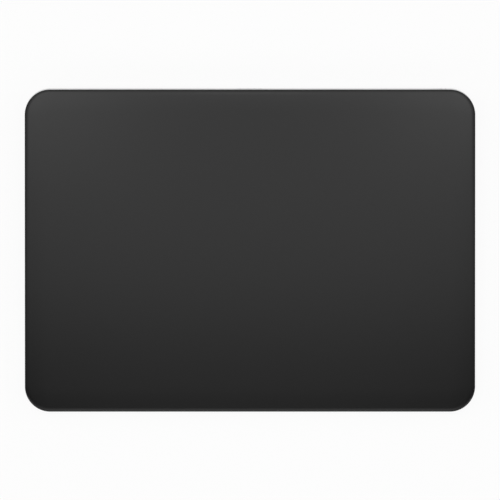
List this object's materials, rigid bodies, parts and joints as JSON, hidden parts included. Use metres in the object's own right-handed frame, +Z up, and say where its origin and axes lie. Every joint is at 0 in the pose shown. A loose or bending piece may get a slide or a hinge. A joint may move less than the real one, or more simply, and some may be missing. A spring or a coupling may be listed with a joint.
{
  "type": "trackpad",
  "caption": "Low wedge-shaped wireless trackpad: a dark glass touch surface that gives when pressed, in an aluminium body with a charging port and a sliding power switch.",
  "frame": {"origin": "on the desk, under the middle of the body", "axes": "+X to the right, +Y to the rear edge with the charging port, +Z up from the desk"},
  "size_m": [0.16, 0.115, 0.0109],
  "materials": {
    "anodised_aluminium": "bead-blasted and anodised",
    "cover_plastic": "fine satin",
    "black_plastic": "matt",
    "foot_rubber": "matt",
    "cell_wrap": "satin film",
    "white_tape": "matt",
    "circuit_board": "satin solder mask",
    "amber_film": "glossy film",
    "screw_steel": "turned",
    "sheet_steel": "rolled",
    "chip_resin": "matt moulded",
    "soft_iron": "laminated",
    "ceramic": "fired",
    "gold_plate": "plated",
    "ivory_plastic": "moulded",
    "copper_wire": "enamelled",
    "clear_gel": "soft",
    "dark_glass": "satin etched, backed in black",
    "green_plastic": "satin"
  },
  "bodies": {
    "base": {"enclosure": "anodised_aluminium", "port_surround": "anodised_aluminium", "bottom_cover": "cover_plastic", "cover_bond": "black_plastic", "feet": "foot_rubber", "battery_cell": "cell_wrap", "battery_tape": "white_tape", "battery_guard": "circuit_board", "battery_flex": "amber_film", "logic_board": "circuit_board", "board_screws": "screw_steel", "radio_can": "sheet_steel", "radio_chip": "chip_resin", "main_processor": "chip_resin", "charger_chip": "chip_resin", "power_inductor": "soft_iron", "capacitors": "ceramic", "antenna": "gold_plate", "board_sockets": "ivory_plastic", "port_shell": "sheet_steel", "port_tongue": "black_plastic", "port_contacts": "gold_plate", "port_strap": "sheet_steel", "port_screws": "screw_steel", "switch_case": "black_plastic", "leaf_springs": "sheet_steel", "leaf_screws": "screw_steel", "strain_gauges": "amber_film", "gauge_leads": "amber_film", "haptic_core": "soft_iron", "haptic_coils": "copper_wire", "core_screws": "screw_steel", "haptic_lead": "amber_film", "sensor_flex": "amber_film"},
    "carriers": {"carrier_tabs": "sheet_steel", "gel_pads": "clear_gel"},
    "touch_plate": {"cover_glass": "dark_glass", "glass_film": "white_tape", "sensor_board": "circuit_board", "touch_chip": "chip_resin", "sensor_socket": "ivory_plastic", "stiffener": "sheet_steel", "haptic_armature": "soft_iron", "armature_screws": "screw_steel"},
    "power_switch": {"power_slider": "anodised_aluminium", "slider_collar": "black_plastic", "on_flag": "green_plastic", "switch_lever": "ivory_plastic"}
  },
  "joints": [
    {"name": "surface_press", "type": "slide", "parent": "base", "child": "carriers", "axis": [0, 0.0532, -0.9986], "range_m": [0, 0.00025], "stiffness_N_per_m": 8000, "springref_m": -0.0003, "deforming": ["leaf_springs", "strain_gauges", "sensor_flex"]},
    {"name": "haptic_shake", "type": "slide", "parent": "carriers", "child": "touch_plate", "axis": [1, 0, 0], "range_m": [-0.00012, 0.00012], "stiffness_N_per_m": 20000, "deforming": ["sensor_flex"]},
    {"name": "power_slide", "type": "slide", "parent": "base", "child": "power_switch", "axis": [-1, 0, 0], "range_m": [0, 0.0027]}
  ]
}
